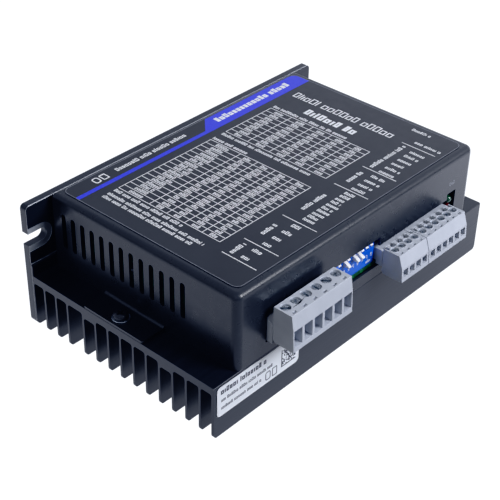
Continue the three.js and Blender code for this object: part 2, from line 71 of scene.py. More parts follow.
# ---------------------------------------------------------------- materials
class Finish:
    """One procedural material. Sizes are in millimetres, on the object's own coordinates."""

    def __init__(self, name, **sockets):
        self.material = bpy.data.materials.new(name)
        self.material.use_nodes = True
        self.tree = self.material.node_tree
        self.shader = next(n for n in self.tree.nodes if n.type == "BSDF_PRINCIPLED")
        for socket, value in sockets.items():
            self.shader.inputs[socket.replace("_", " ")].default_value = value
        self.place = self.tree.nodes.new("ShaderNodeTexCoord").outputs["Object"]
        self.normal = None

    def node(self, kind, *links, **values):
        """A node with inputs given by index: sockets are linked, other values are set."""
        made = self.tree.nodes.new(kind)
        for name, value in values.items():
            setattr(made, name, value)
        for index, value in links:
            if isinstance(value, bpy.types.NodeSocket):
                self.tree.links.new(value, made.inputs[index])
            else:
                made.inputs[index].default_value = value
        return made

    def stretched(self, stretch):
        return self.node("ShaderNodeMapping", (0, self.place), (3, stretch)).outputs[0]

    def noise(self, size, detail=3.0, stretch=(1, 1, 1), distortion=0.0):
        """Noise whose features are about size millimetres across, longer where stretch is small."""
        made = self.node("ShaderNodeTexNoise", ("Vector", self.stretched(stretch)),
                         ("Scale", 1 / (size * MM)), ("Detail", detail), ("Distortion", distortion))
        return made.outputs["Fac"]

    def cells(self, size, feature="F1", stretch=(1, 1, 1)):
        made = self.node("ShaderNodeTexVoronoi", ("Vector", self.stretched(stretch)),
                         ("Scale", 1 / (size * MM)), feature=feature)
        return made.outputs["Distance"]

    def span(self, value, low, high, start=0.3, end=0.7):
        """The value's range from start to end, spread over low to high."""
        return self.node("ShaderNodeMapRange", ("Value", value), ("From Min", start), ("From Max", end),
                         ("To Min", low), ("To Max", high)).outputs[0]

    def math(self, operation, a, b):
        return self.node("ShaderNodeMath", (0, a), (1, b), operation=operation).outputs[0]

    def between(self, share, first, second):
        made = self.node("ShaderNodeMix", data_type="RGBA")
        for socket, value in ((0, share), (6, first), (7, second)):
            if isinstance(value, bpy.types.NodeSocket):
                self.tree.links.new(value, made.inputs[socket])
            else:
                made.inputs[socket].default_value = (*value, 1) if socket else value
        return made.outputs[2]

    def colour(self, value):
        self.tree.links.new(value, self.shader.inputs["Base Color"])
        return self

    def roughness(self, value):
        self.tree.links.new(value, self.shader.inputs["Roughness"])
        return self

    def bump(self, height, depth):
        """Relief of the given depth in millimetres, on top of any earlier relief."""
        links = [("Height", height), ("Distance", depth * MM), ("Strength", 1.0)]
        if self.normal is not None:
            links.append(("Normal", self.normal))
        self.normal = self.node("ShaderNodeBump", *links).outputs[0]
        self.tree.links.new(self.normal, self.shader.inputs["Normal"])
        return self


def satin_paint(name):
    """Smooth black paint with a faint orange peel and paler patches."""
    f = Finish(name, IOR=1.5)
    dust = f.span(f.noise(1.4, 3), 0, 1, 0.55, 0.8)
    patches = f.between(f.span(f.noise(26, 4), 0, 1), (0.016, 0.018, 0.023), (0.023, 0.026, 0.032))
    f.colour(f.between(f.math("MULTIPLY", dust, 0.25), patches, (0.05, 0.055, 0.065)))
    f.roughness(f.span(f.noise(4, 4), 0.26, 0.32))
    return f.bump(f.noise(2.2, 1), 0.0008)


def anodised(name, land_front, land_back):
    """Black anodised extrusion: die lines run along X, the milled lands round the slots are lighter."""
    f = Finish(name, IOR=1.5, Metallic=0.0)
    lines = f.noise(0.35, 4, (0.012, 1, 1))
    wide = f.noise(2.4, 3, (0.02, 1, 1))
    y = f.node("ShaderNodeSeparateXYZ", (0, f.place)).outputs[1]
    milled = f.math("MULTIPLY", f.math("GREATER_THAN", y, land_front), f.math("LESS_THAN", y, land_back))
    drawn = f.between(f.span(wide, 0, 1), (0.010, 0.012, 0.017), (0.019, 0.022, 0.029))
    f.colour(f.between(milled, drawn, (0.34, 0.36, 0.40)))
    both = f.math("ADD", f.math("MULTIPLY", lines, 0.6), f.math("MULTIPLY", wide, 0.4))
    f.roughness(f.span(both, 0.27, 0.42))
    return f.bump(lines, 0.010).bump(f.noise(0.12, 2), 0.0015)


def film(name, dark, light, roughness):
    """Printed polyester film with a fine sand texture."""
    f = Finish(name, IOR=1.5)
    f.colour(f.between(f.span(f.noise(18, 3), 0, 1), dark, light))
    f.roughness(f.span(f.noise(3, 3), roughness - 0.03, roughness + 0.04))
    return f.bump(f.noise(0.22, 2), 0.002)


def moulded(name, dark, light, roughness, relief=0.004, **sockets):
    """Moulded plastic: slight flow marks, fine spark texture."""
    f = Finish(name, IOR=1.5, **sockets)
    flow = f.noise(7, 4, (1, 1, 1), 0.6)
    f.colour(f.between(f.span(flow, 0, 1), dark, light))
    f.roughness(f.span(f.noise(1.2, 4), roughness - 0.04, roughness + 0.06))
    return f.bump(f.noise(0.14, 2), relief)


def plated(name, dark, light, low, high, grain=0.2):
    """Plated or bare metal with fine scratches and a blotchy plating."""
    f = Finish(name, Metallic=1.0)
    scratches = f.noise(grain, 5, (1, 0.15, 1), 0.4)
    f.colour(f.between(f.span(f.noise(1.3, 4), 0, 1), dark, light))
    f.roughness(f.span(scratches, low, high))
    return f.bump(scratches, 0.004)


def ink(name, dark, light, roughness=0.38):
    """Screen-printed ink: thin, with slightly uneven cover."""
    f = Finish(name, IOR=1.5)
    f.colour(f.between(f.span(f.noise(0.5, 3), 0, 1), dark, light))
    f.roughness(f.span(f.noise(1.0, 3), roughness - 0.05, roughness + 0.05))
    return f.bump(f.noise(0.1, 2), 0.001)


def solder_mask(name):
    """Green board: copper tracks under the mask show as raised, lighter paths."""
    f = Finish(name, IOR=1.5)
    tracks = f.span(f.cells(5, "DISTANCE_TO_EDGE", (1, 1.6, 1)), 1, 0, 0.06, 0.10)
    base = f.between(f.span(f.noise(12, 3), 0, 1), (0.007, 0.060, 0.024), (0.011, 0.085, 0.034))
    f.colour(f.between(f.math("MULTIPLY", tracks, 0.6), base, (0.030, 0.22, 0.085)))
    f.roughness(f.span(f.noise(2, 3), 0.24, 0.36))
    return f.bump(tracks, 0.03)


def lens(name, dark, light):
    """Tinted, slightly diffusing lamp resin."""
    f = Finish(name, IOR=1.5, Transmission_Weight=0.25, Coat_Weight=0.4, Coat_Roughness=0.05)
    f.colour(f.between(f.span(f.noise(0.8, 2), 0, 1), dark, light))
    f.roughness(f.span(f.noise(0.5, 2), 0.08, 0.14))
    return f.bump(f.noise(0.4, 1), 0.001)


def wound_wire(name):
    """Enamelled copper wire wound in close turns."""
    f = Finish(name, Metallic=0.85)
    turns = f.node("ShaderNodeTexWave", ("Vector", f.place), ("Scale", 1 / (2.6 * MM)), ("Distortion", 0.6),
                   bands_direction="Z").outputs["Fac"]
    f.colour(f.between(turns, (0.16, 0.045, 0.015), (0.52, 0.20, 0.085)))
    f.roughness(f.span(f.noise(0.6, 3), 0.22, 0.38))
    return f.bump(turns, 0.12)


# The upright flange's front face, 1.4 mm behind the cover's back.
LAND_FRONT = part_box("cover")[1].y + 1.4 * MM
FINISHES = {
    "black_anodised": anodised("anodised_extrusion", LAND_FRONT + 0.1 * MM, LAND_FRONT + 0.35 * MM),
    "black_paint": satin_paint("satin_black_paint"),
    "screw_black": moulded("blackened_steel", (0.012, 0.013, 0.016), (0.03, 0.032, 0.038), 0.3, 0.002),
    "zinc_steel": plated("zinc_plated_steel", (0.34, 0.38, 0.42), (0.56, 0.60, 0.66), 0.20, 0.36),
    "brass_post": plated("turned_brass", (0.55, 0.40, 0.16), (0.72, 0.55, 0.26), 0.2, 0.36),
    "overlay_film": film("overlay_film", (0.012, 0.013, 0.016), (0.017, 0.019, 0.023), 0.36),
    "sticker_film": film("sticker_film", (0.78, 0.81, 0.86), (0.84, 0.87, 0.92), 0.34),
    "green_board": solder_mask("solder_mask"),
    "grey_plastic": moulded("grey_polyamide", (0.47, 0.50, 0.565), (0.515, 0.545, 0.61), 0.32),
    "blue_plastic": moulded("blue_switch_plastic", (0.006, 0.105, 0.60), (0.010, 0.145, 0.76), 0.34),
    "white_plastic": moulded("white_lever_plastic", (0.78, 0.78, 0.80), (0.86, 0.86, 0.88), 0.36, 0.002),
    "black_plastic": moulded("black_plastic", (0.010, 0.010, 0.012), (0.018, 0.018, 0.021), 0.42),
    "green_lens": lens("green_lens", (0.004, 0.060, 0.022), (0.006, 0.105, 0.038)),
    "red_lens": lens("red_lens", (0.10, 0.006, 0.006), (0.17, 0.012, 0.010)),
    "cap_sleeve": moulded("capacitor_sleeve", (0.006, 0.010, 0.028), (0.012, 0.018, 0.045), 0.28, 0.003),
    "winding": wound_wire("wound_wire"),
    "grey_pad": moulded("silicone_pad", (0.20, 0.21, 0.23), (0.27, 0.28, 0.30), 0.7, 0.02),
    "white_ink": ink("white_ink", (0.78, 0.80, 0.84), (0.86, 0.88, 0.92)),
    "blue_ink": ink("blue_ink", (0.035, 0.045, 0.66), (0.050, 0.060, 0.76)),
    "dark_ink": ink("dark_ink", (0.018, 0.020, 0.035), (0.030, 0.034, 0.055)),
    "line_ink": ink("line_ink", (0.13, 0.14, 0.165), (0.17, 0.18, 0.21)),
    "grey_ink": ink("grey_ink", (0.16, 0.17, 0.20), (0.22, 0.235, 0.27)),
}


def dress(obj, slot):
    obj.data.materials.clear()
    obj.data.materials.append(FINISHES[slot].material)


# ---------------------------------------------------------------- CAD nodes
# Edge radius in millimetres put on each kind of node.
EDGE_RADIUS = {"heatsink_base": 0.13, "cover": 0.11, "header": 0.16, "plug": 0.13, "main_board": 0.06,
               "rating_sticker": 0, "top_overlay": 0.03, "dip_body": 0.1, "dip_slider": 0.1}


def crease_tree():
    """Marks long edges between flat faces as sharp, so that a shallow bend keeps its crease."""
    tree = bpy.data.node_groups.new("long_creases", "GeometryNodeTree")
    tree.interface.new_socket("Geometry", in_out="INPUT", socket_type="NodeSocketGeometry")
    tree.interface.new_socket("Geometry", in_out="OUTPUT", socket_type="NodeSocketGeometry")
    made = {kind: tree.nodes.new(kind) for kind in (
        "NodeGroupInput", "NodeGroupOutput", "GeometryNodeInputMeshEdgeAngle",
        "GeometryNodeInputMeshEdgeVertices", "ShaderNodeVectorMath", "GeometryNodeSetShadeSmooth")}
    span = made["ShaderNodeVectorMath"]
    span.operation = "DISTANCE"
    ends = made["GeometryNodeInputMeshEdgeVertices"].outputs
    tree.links.new(ends["Position 1"], span.inputs[0])
    tree.links.new(ends["Position 2"], span.inputs[1])

    def above(value, limit, join=None):
        test = tree.nodes.new("ShaderNodeMath")
        test.operation = "GREATER_THAN"
        tree.links.new(value, test.inputs[0])
        test.inputs[1].default_value = limit
        if join is None:
            return test.outputs[0]
        both = tree.nodes.new("ShaderNodeMath")
        both.operation = "MULTIPLY"
        tree.links.new(test.outputs[0], both.inputs[0])
        tree.links.new(join, both.inputs[1])
        return both.outputs[0]

    long_edges = above(span.outputs["Value"], 5 * MM)
    angle = made["GeometryNodeInputMeshEdgeAngle"].outputs["Unsigned Angle"]
    bent = above(angle, math.radians(13), long_edges)
    shade = made["GeometryNodeSetShadeSmooth"]
    shade.domain = "EDGE"
    shade.inputs["Shade Smooth"].default_value = False
    tree.links.new(made["NodeGroupInput"].outputs[0], shade.inputs[0])
    tree.links.new(bent, shade.inputs["Selection"])
    tree.links.new(shade.outputs[0], made["NodeGroupOutput"].inputs[0])
    return tree


CREASES = crease_tree()
CREASED = ("_plug", "_header")


def soften(obj, radius):
    """Rounds the sharp edges of a CAD node with modifiers; its own mesh stays as packed."""
    obj.data.polygons.foreach_set("use_smooth", [True] * len(obj.data.polygons))
    if "custom_normal" in obj.data.attributes:
        obj.data.attributes.remove(obj.data.attributes["custom_normal"])
    weld = obj.modifiers.new("weld", "WELD")
    weld.merge_threshold = 1e-6
    flat = obj.modifiers.new("flat", "DECIMATE")
    flat.decimate_type = "DISSOLVE"
    flat.angle_limit = math.radians(1)
    if obj.name.endswith(CREASED):
        obj.modifiers.new("creases", "NODES").node_group = CREASES
    if radius:
        bevel = obj.modifiers.new("bevel", "BEVEL")
        bevel.width = radius * MM
        bevel.segments = 2
        bevel.limit_method = "ANGLE"
        bevel.angle_limit = math.radians(50)
        bevel.harden_normals = False
    normals = obj.modifiers.new("normals", "WEIGHTED_NORMAL")
    normals.keep_sharp = True


for name, node in NODES.items():
    slot = node.data.materials[0].name
    dress(node, slot)
    radius = next((r for key, r in EDGE_RADIUS.items() if key in name), 0.1)
    soften(node, radius)


# ---------------------------------------------------------------- mesh helpers
def to_object(name, mesh):
    """Turns a bmesh into an object of the scene and frees the bmesh."""
    data = bpy.data.meshes.new(name)
    mesh.to_mesh(data)
    mesh.free()
    obj = bpy.data.objects.new(name, data)
    bpy.context.scene.collection.objects.link(obj)
    return obj


def piece(name, mesh, body, finish, smooth=False):
    """A new object from a bmesh in metres, riding on a CAD body."""
    bmesh.ops.recalc_face_normals(mesh, faces=mesh.faces)
    obj = to_object(name, mesh)
    dress(obj, finish)
    if smooth:
        obj.data.polygons.foreach_set("use_smooth", [True] * len(obj.data.polygons))
        obj.data.set_sharp_from_angle(angle=math.radians(35))
    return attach(obj, body)


def add_box(mesh, low, high):
    corners = [mesh.verts.new((x, y, z)) for x in (low[0], high[0]) for y in (low[1], high[1])
               for z in (low[2], high[2])]
    for quad in ((0, 1, 3, 2), (4, 6, 7, 5), (0, 4, 5, 1), (2, 3, 7, 6), (0, 2, 6, 4), (1, 5, 7, 3)):
        mesh.faces.new([corners[i] for i in quad])


def add_prism(mesh, outline, lift, plane):
    """A closed prism over a flat outline; plane turns (u, v, height) into a point."""
    low = [mesh.verts.new(plane(u, v, 0)) for u, v in outline]
    high = [mesh.verts.new(plane(u, v, lift)) for u, v in outline]
    mesh.faces.new(high)
    mesh.faces.new(list(reversed(low)))
    count = len(outline)
    for n in range(count):
        mesh.faces.new((low[n], low[(n + 1) % count], high[(n + 1) % count], high[n]))


def add_ring(mesh, outer, inner, lift, plane):
    """A closed flat ring between two outlines with the same number of points."""
    count = len(outer)
    rows = [[mesh.verts.new(plane(u, v, h)) for u, v in outline]
            for outline, h in ((outer, 0), (outer, lift), (inner, lift), (inner, 0))]
    for n in range(count):
        m = (n + 1) % count
        for a, b in zip(rows, rows[1:] + rows[:1]):
            mesh.faces.new((a[n], a[m], b[m], b[n]))


def rounded(u0, u1, v0, v1, radius, steps=6):
    points = []
    for cu, cv, first in ((u1 - radius, v1 - radius, 0), (u0 + radius, v1 - radius, 90),
                          (u0 + radius, v0 + radius, 180), (u1 - radius, v0 + radius, 270)):
        for n in range(steps + 1):
            angle = math.radians(first + 90 * n / steps)
            points.append((cu + radius * math.cos(angle), cv + radius * math.sin(angle)))
    return points


def lathe(mesh, profile, sides, place):
    """A closed surface of revolution; profile runs from the axis back to the axis."""
    rings = []
    for radius, height in profile:
        if radius < 1e-9:
            rings.append([mesh.verts.new(place(0, 0, height))])
        else:
            rings.append([mesh.verts.new(place(radius * math.cos(2 * math.pi * n / sides),
                                               radius * math.sin(2 * math.pi * n / sides), height))
                          for n in range(sides)])
    for a, b in zip(rings, rings[1:]):
        for n in range(sides):
            m = (n + 1) % sides
            if len(a) == 1:
                mesh.faces.new((a[0], b[n], b[m]))
            elif len(b) == 1:
                mesh.faces.new((a[n], b[0], a[m]))
            else:
                mesh.faces.new((a[n], b[n], b[m], a[m]))


class Print:
    """Flat ink on a face. Positions are millimetres on that face, from its origin."""

    def __init__(self, origin, u_axis, v_axis, thickness=0.02):
        self.mesh = bmesh.new()
        self.origin, self.u, self.v = Vector(origin), Vector(u_axis), Vector(v_axis)
        self.out = self.u.cross(self.v)
        self.thickness = thickness

    def plane(self, u, v, lift):
        return self.origin + (self.u * u + self.v * v + self.out * lift) * MM

    def polygon(self, points):
        add_prism(self.mesh, points, self.thickness, self.plane)

    def bar(self, u0, u1, v0, v1):
        u0, u1 = sorted((u0, u1))
        v0, v1 = sorted((v0, v1))
        self.polygon([(u0, v0), (u1, v0), (u1, v1), (u0, v1)])

    def frame(self, u0, u1, v0, v1, radius, width):
        add_ring(self.mesh, rounded(u0, u1, v0, v1, radius),
                 rounded(u0 + width, u1 - width, v0 + width, v1 - width, max(radius - width, 0.05)),
                 self.thickness, self.plane)

    def line(self, start, end, height, rng, turned=False, stroke=0.2, word=(3, 8), solid=0.3):
        """A line of blank print from start to end: box and bar shapes in word-like groups, no lettering.

        With turned set it runs along v at a fixed u, and height is measured along u."""
        (u, v), (u_end, v_end) = start, end
        along, stop = (v, v_end) if turned else (u, u_end)
        step = 1 if stop > along else -1
        thick = stroke * height

        def mark(a0, a1, h0, h1):
            if turned:
                self.bar(u + h0, u + h1, along + step * a0, along + step * a1)
            else:
                self.bar(along + step * a0, along + step * a1, v + h0, v + h1)

        left = rng.randint(*word)
        while (stop - along) * step > 0.3 * height:
            width = height * rng.uniform(0.5, 0.68)
            top = height * rng.choice((1.0, 0.76, 0.76))
            if rng.random() < solid:
                width = thick * 1.1
                mark(0, width, 0, top)
            else:
                mark(0, width, 0, thick)
                mark(0, width, top - thick, top)
                mark(0, thick, thick, top - thick)
                mark(width - thick, width, thick, top - thick)
            along += step * (width + 0.16 * height)
            left -= 1
            if left == 0:
                along += step * height * 0.4
                left = rng.randint(*word)

    def digit(self, value, u, v, height):
        """A figure built from straight bars, its left foot at (u, v)."""
        width, thick, half = height * 0.56, height * 0.17, height / 2
        bars = {
            "top": (0, width, height - thick, height),
            "middle": (0, width, half - thick / 2, half + thick / 2),
            "foot": (0, width, 0, thick),
            "upper left": (0, thick, half, height),
            "upper right": (width - thick, width, half, height),
            "lower left": (0, thick, 0, half),
            "lower right": (width - thick, width, 0, half),
        }
        missing = {
            1: ("top", "middle", "foot", "upper left", "lower left"),
            2: ("upper left", "lower right"),
            3: ("upper left", "lower left"),
            4: ("top", "foot", "lower left"),
            5: ("upper right", "lower left"),
            6: ("upper right",),
            7: ("middle", "foot", "upper left", "lower left"),
            8: (),
        }
        for name, (u0, u1, v0, v1) in bars.items():
            if name not in missing[value]:
                self.bar(u + u0, u + u1, v + v0, v + v1)

    def done(self, name, body, finish):
        return piece(name, self.mesh, body, finish)


# ---------------------------------------------------------------- printed film on the cover
film_low, film_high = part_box("top_overlay")
film_origin = (0, film_low.y, film_high.z)
white = Print(film_origin, (1, 0, 0), (0, 1, 0))
rng = random.Random(11)

FILM_HALF = 61.7
FILM_DEPTH = 83
FILM_CORNER = 3
BORDER_INSET = 0.1
LINE = 0.3
border = Print(film_origin, (1, 0, 0), (0, 1, 0))
border.frame(-FILM_HALF + BORDER_INSET, FILM_HALF - BORDER_INSET, BORDER_INSET, FILM_DEPTH - BORDER_INSET,
             FILM_CORNER - BORDER_INSET, LINE)
border.done("overlay_border", "driver", "line_ink")

# Main table, its columns of short rotated entries and the notes beside it.
TABLES = [
    {"left": -46.6, "right": -0.15, "columns": 17, "rows": [70.1, 55.0, 46.6, 38.2, 30.0, 21.8]},
    {"left": 8.1, "right": 33.6, "columns": 9, "rows": [70.1, 59.4, 48.6, 39.6, 30.7, 21.8]},
]
for table in TABLES:
    pitch = (table["right"] - table["left"]) / table["columns"]
    for v in table["rows"]:
        white.bar(table["left"], table["right"], v - LINE / 2, v + LINE / 2)
    for n in range(table["columns"] + 1):
        u = table["left"] + n * pitch
        white.bar(u - LINE / 2, u + LINE / 2, table["rows"][-1], table["rows"][0])
    for n in range(table["columns"]):
        for top, bottom in zip(table["rows"], table["rows"][1:]):
            length = (top - bottom) * (0.44 if top - bottom > 12 else 0.36)
            middle = (top + bottom) / 2
            u = table["left"] + (n + 0.5) * pitch - 0.8
            white.line((u, middle + length / 2), (u, middle - length / 2), 1.6, rng, turned=True)

for u, top, bottom in ((-54.7, 70.1, 27.9), (-52.2, 70.1, 24.3), (-49.2, 70.1, 37.3), (0.8, 70.3, 52.9),
                       (5.3, 70.1, 27.9), (34.7, 70.1, 33.7)):
    white.line((u, top), (u, bottom), 1.6, rng, turned=True)

# Two large headings, as blank bars.
white.line((46.9, 70.7), (46.9, 21.6), 4.0, rng, turned=True, stroke=0.13, word=(6, 8))
white.line((39.1, 58.6), (39.1, 33.0), 4.1, rng, turned=True, stroke=0.24, word=(7, 7), solid=0.1)

# Terminal legend along the front edge, with a thin divider between its groups.
DIVIDER = 0.36
for u in (-50.2, -39.5, -20.2, 7.6, 23.8, 47.5):
    white.bar(u - DIVIDER / 2, u + DIVIDER / 2, 2.5, 17.5)
for u0, u1 in ((-48.7, -41.1), (-33.6, -26.4), (-12.9, 0.3), (11.8, 20.4), (25.4, 46.1)):
    white.line((u0, 14.3), (u1, 14.3), 1.8, rng)
for u in (-47.5, -42.3, -37.1, -32.3, -27.5, -22.7):
    white.line((u - 0.9, 11.1), (u - 0.9, 7.5), 1.8, rng, turned=True)
for n in range(10):
    u = -16.9 + 2.48 * n
    white.line((u - 0.8, 11.0), (u - 0.8, 6.4), 1.6, rng, turned=True)
for u in (9.6, 13.2, 16.9, 20.7, 25.4, 29.1, 32.9, 36.6, 40.4, 43.9):
    white.line((u - 0.8, 11.1), (u - 0.8, 5.0), 1.6, rng, turned=True)
white.line((57.4, 20.4), (57.4, 12.5), 1.6, rng, turned=True)
white.line((50.1, 13.9), (50.1, 2.1), 1.6, rng, turned=True)

# Small print and two blank marks at the back left.
white.line((-39.3, 78.4), (-2.8, 78.4), 2.0, rng)
white.frame(-50.2, -47.4, 77.4, 80.9, 1.0, 0.5)
white.frame(-46.6, -43.8, 77.4, 80.9, 0.3, 0.5)

blue = Print(film_origin, (1, 0, 0), (0, 1, 0))
band_low, band_high, block_high = 74.1, 75.9, 82.3
corner = [(u, v) for u, v in rounded(0, 61.3, 60, block_high, 2.9) if u > 50 and v > 70]
blue.polygon([(-61.3, band_low), (61.3, band_low), *corner, (9.3, block_high), (2.9, band_high),
              (-61.3, band_high)])
blue.done("overlay_band", "driver", "blue_ink")

heading = Print((0, film_low.y, film_high.z + 0.02 * MM), (1, 0, 0), (0, 1, 0))
heading.line((11.6, 77.2), (53.5, 77.2), 3.0, rng, stroke=0.27, word=(13, 13), solid=0.12)
heading.done("overlay_heading", "driver", "white_ink")
white.done("overlay_print", "driver", "white_ink")

# ---------------------------------------------------------------- label on the heatsink's front wall
label_low, label_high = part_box("rating_sticker")
label = Print((label_low.x, label_low.y, label_low.z), (1, 0, 0), (0, 0, 1))
label_width = (label_high.x - label_low.x) / MM
label_height = (label_high.z - label_low.z) / MM
label.line((1.8, 9.0), (24.0, 9.0), 2.1, rng, stroke=0.24, word=(5, 8))
label.line((2.0, 5.8), (26.7, 5.8), 1.3, rng)
label.line((2.0, 2.6), (21.3, 2.6), 1.3, rng)
label.frame(23.4, 26.0, 1.2, 4.8, 0.9, 0.35)
label.frame(26.8, 29.3, 1.2, 4.8, 0.3, 0.35)

# A square of random dots, with its first row and column filled.
dots = 16
dots_filled = 0.46
patch_u, patch_v, patch_size = 31.4, 2.3, 7.4
dot_pitch = patch_size / dots
dot_size = dot_pitch * 0.96
for i in range(dots):
    for j in range(dots):
        if i == 0 or j == 0 or rng.random() < dots_filled:
            u, v = patch_u + i * dot_pitch, patch_v + j * dot_pitch
            label.bar(u, u + dot_size, v, v + dot_size)
label.done("label_print", "driver", "dark_ink")
rim = Print((label_low.x, label_low.y, label_low.z), (1, 0, 0), (0, 0, 1))
rim.frame(0.25, label_width - 0.25, 0.25, label_height - 0.25, 1.3, 0.5)
rim.done("label_rim", "driver", "white_ink")

cover_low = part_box("cover")[0]
legend = Print((0, cover_low.y, 0), (1, 0, 0), (0, 0, 1), 0.012)
legend.line((50.9, 40.4), (54.6, 40.4), 1.5, rng)
legend.done("lamp_legend", "driver", "grey_ink")

# ---------------------------------------------------------------- marks on the DIP switch
switch_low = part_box("dip_body")[0]
marks = Print((0, switch_low.y, switch_low.z), (1, 0, 0), (0, 0, 1))
for n in range(8):
    lever_low, lever_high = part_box(f"dip_slider_{n + 1}")
    marks.digit(n + 1, (lever_low.x + lever_high.x) / 2 / MM - 0.4, 3.1, 1.5)
marks.line((-12.9, 1.1), (-8.0, 1.1), 1.1, rng)
marks.line((3.4, 1.1), (6.6, 1.1), 1.1, rng)
marks.done("dip_marks", "driver", "white_ink")

# ---------------------------------------------------------------- terminal hardware
# Degrees that each screw's slot is turned, and each block's sizes and heights in millimetres.
SLOT_TURNS = {
    "power": (-45, 40, 80, 90, -50, 40),
    "output": (25, 40, 30, 75),
    "signal": (35, 20, 45, 30, 60, 25),
}
CONTACT_HEIGHT = {"power": 31.3, "output": 30.5, "signal": 30.5}
PIN = {"power": 1.0, "output": 0.8, "signal": 0.8}
CLAMP = {"power": (2.5, 3.5), "output": (1.8, 2.1), "signal": (1.8, 2.1)}
# Each wire entry's mouth, measured back from the cover's front, and its height.
ENTRY = {"power": (-6.9, 32.9), "output": (-7.5, 26.95), "signal": (-7.5, 26.95)}
COLLAR = {"output": 1.5, "signal": 1.5}
COVER_FRONT = round(cover_low.y / MM, 3)


def slotted_head(name, node, turn, body):
    """A slotted terminal screw with a chamfered head, made where the CAD screw is."""
    low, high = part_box(node)
    head = (high.x - low.x) / 2
    centre = Vector(((low.x + high.x) / 2, (low.y + high.y) / 2, 0))
    shank, collar, chamfer = head * 0.63, high.z - head * 0.75, head * 0.09
    solid = bmesh.new()
    profile = [(0, low.z), (shank, low.z), (shank, collar), (head - chamfer, collar),
               (head, collar + chamfer), (head, high.z - chamfer), (head - chamfer, high.z),
               (head * 0.5, high.z), (0, high.z)]
    lathe(solid, profile, 40, lambda x, y, z: (x, y, z))
    cutter = bmesh.new()
    half = head * 0.22
    add_box(cutter, (-2 * head, -half, high.z - head * 0.55), (2 * head, half, high.z + head))
    holders = []
    for holder_name, mesh in (("solid", solid), ("cutter", cutter)):
        bmesh.ops.recalc_face_normals(mesh, faces=mesh.faces)
        holders.append(to_object(holder_name, mesh))
    cutting = holders[0].modifiers.new("slot", "BOOLEAN")
    cutting.object = holders[1]
    cutting.solver = "EXACT"
    bpy.context.view_layer.update()
    result = bmesh.new()
    result.from_mesh(holders[0].evaluated_get(bpy.context.evaluated_depsgraph_get()).to_mesh())
    for holder in holders:
        bpy.data.objects.remove(holder)
    result.transform(Matrix.Translation(centre) @ Matrix.Rotation(math.radians(turn), 4, "Z"))
    made = piece(name, result, body, "zinc_steel", smooth=True)
    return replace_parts(made, node)


def add_pin(mesh, x, z, half, front, back):
    """A square contact pin along Y with a tapered tip at its front end."""
    rows = []
    for y, reach in ((front, half * 0.5), (front + 0.7, half), (back, half)):
        rows.append([mesh.verts.new(Vector(p) * MM) for p in (
            (x - reach, y, z - reach), (x + reach, y, z - reach),
            (x + reach, y, z + reach), (x - reach, y, z + reach))])
    mesh.faces.new(rows[0])
    mesh.faces.new(rows[-1])
    for a, b in zip(rows, rows[1:]):
        for i in range(4):
            j = (i + 1) % 4
            mesh.faces.new((a[i], a[j], b[j], b[i]))


def add_clamp(mesh, x, z, wide, tall, front, back):
    """A rectangular wire cage with its back plate, inside a plug's wire entry."""
    wall, plate = 0.35, 0.2

    def cage(u, v, lift):
        return Vector((x + u, front + lift, z + v)) * MM

    add_ring(mesh, rounded(-wide / 2, wide / 2, -tall / 2, tall / 2, 0.25, 2),
             rounded(-wide / 2 + wall, wide / 2 - wall, -tall / 2 + wall, tall / 2 - wall, 0.15, 2),
             back - front, cage)
    add_box(mesh, Vector((x - wide / 2 + 0.3, back - 0.3, z - tall / 2 + 0.3)) * MM,
            Vector((x + wide / 2 - 0.3, back - 0.3 + plate, z + tall / 2 - 0.3)) * MM)


def add_collar(mesh, x, y, top, bore, sides=32):
    """A low ring round a screw hole in a plug's top; x, y, top and bore are in metres."""
    section = ((0.02, -0.1), (0.38, -0.1), (0.38, 0.06), (0.32, 0.12), (0.08, 0.12), (0.02, 0.06))
    loops = []
    for out, lift in section:
        radius, height = bore + out * MM, top + lift * MM
        loops.append([mesh.verts.new((x + radius * math.cos(2 * math.pi * k / sides),
                                      y + radius * math.sin(2 * math.pi * k / sides), height))
                      for k in range(sides)])
    for a, b in zip(loops, loops[1:] + loops[:1]):
        for k in range(sides):
            m = (k + 1) % sides
            mesh.faces.new((a[k], a[m], b[m], b[k]))


for block, turns in SLOT_TURNS.items():
    pins, clamps, collars = bmesh.new(), bmesh.new(), bmesh.new()
    plug_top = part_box(f"{block}_plug")[1].z
    header_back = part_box(f"{block}_header")[1].y / MM
    mouth, middle = ENTRY[block]
    for n, turn in enumerate(turns, 1):
        node = f"{block}_screw_{n}"
        slotted_head(f"{block}_slotted_screw_{n}", node, turn, node)
        low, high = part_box(node)
        screw_x, screw_y = (low.x + high.x) / 2, (low.y + high.y) / 2
        x = screw_x / MM
        add_pin(pins, x, CONTACT_HEIGHT[block], PIN[block] / 2, COVER_FRONT - 0.8, header_back - 2.0)
        add_clamp(clamps, x, middle, *CLAMP[block], COVER_FRONT + mouth + 0.1, COVER_FRONT + mouth + 1.4)
        if block in COLLAR:
            add_collar(collars, screw_x, screw_y, plug_top, COLLAR[block] * MM)
    if block in COLLAR:
        piece(f"{block}_collars", collars, f"{block}_plug", "grey_plastic", smooth=True)
    else:
        collars.free()
    piece(f"{block}_pins", pins, "driver", "zinc_steel")
    piece(f"{block}_clamps", clamps, f"{block}_plug", "zinc_steel")

